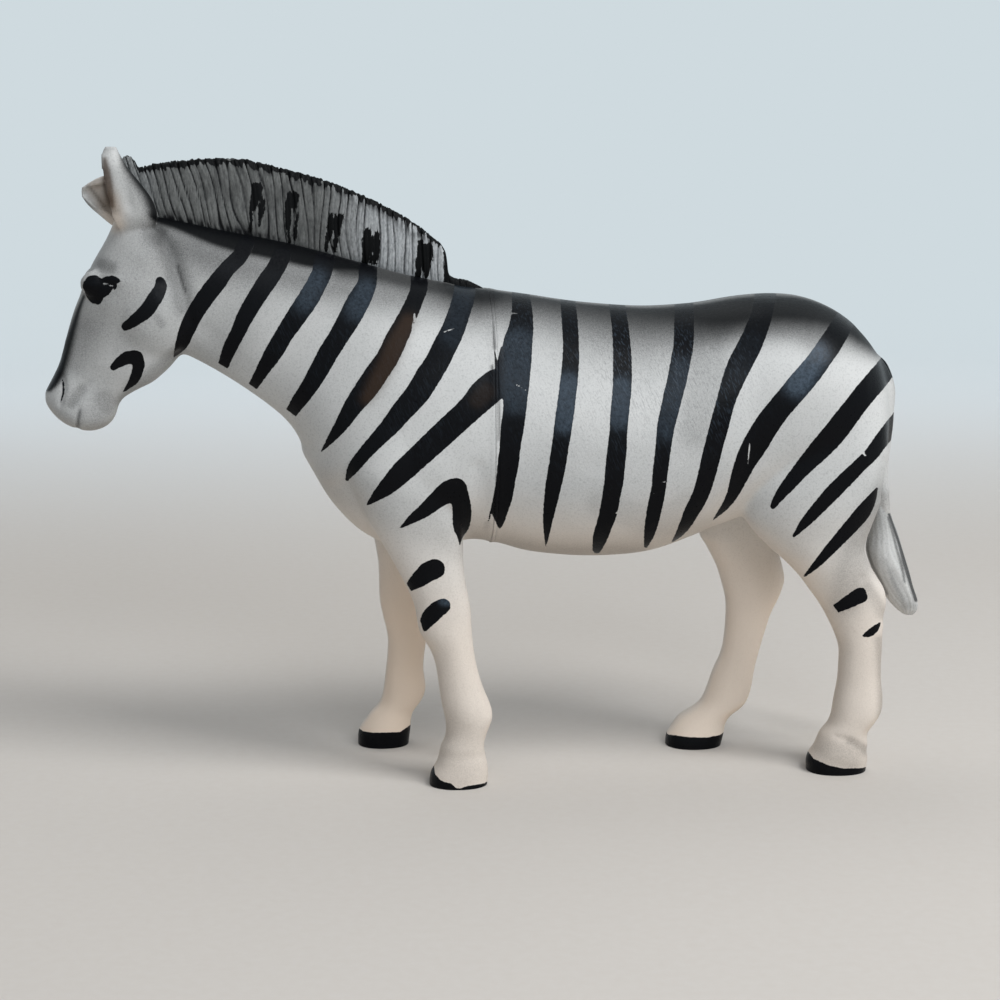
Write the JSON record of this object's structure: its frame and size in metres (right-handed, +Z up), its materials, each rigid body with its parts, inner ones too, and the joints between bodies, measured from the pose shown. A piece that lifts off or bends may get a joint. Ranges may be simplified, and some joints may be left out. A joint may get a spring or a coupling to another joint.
{
  "type": "toy zebra figure",
  "caption": "Standing toy zebra in two hollow moulded shells joined at the girth, with a set-in upright mane and a pegged tail.",
  "frame": {"origin": "on the floor under the soles, at the middle of the figure's length and width", "axes": "+X runs from head to tail, -Y is the animal's left side, +Z is up"},
  "size_m": [0.2099, 0.0506, 0.1498],
  "materials": {
    "painted_pvc": "white moulded PVC with a satin sheen, painted with black stripes, black hooves and a grey airbrushed back",
    "grey_mane_pvc": "grey moulded PVC with fine grooves and black painted bars",
    "tail_pvc": "off-white moulded PVC with a dark rear edge and grey streaks",
    "clear_adhesive": "thin cured bead, slightly glossy"
  },
  "bodies": {
    "root": {"front_shell": "painted_pvc", "rear_shell": "painted_pvc", "girth_bead": "clear_adhesive", "mane": "grey_mane_pvc", "tail": "tail_pvc"}
  },
  "joints": []
}
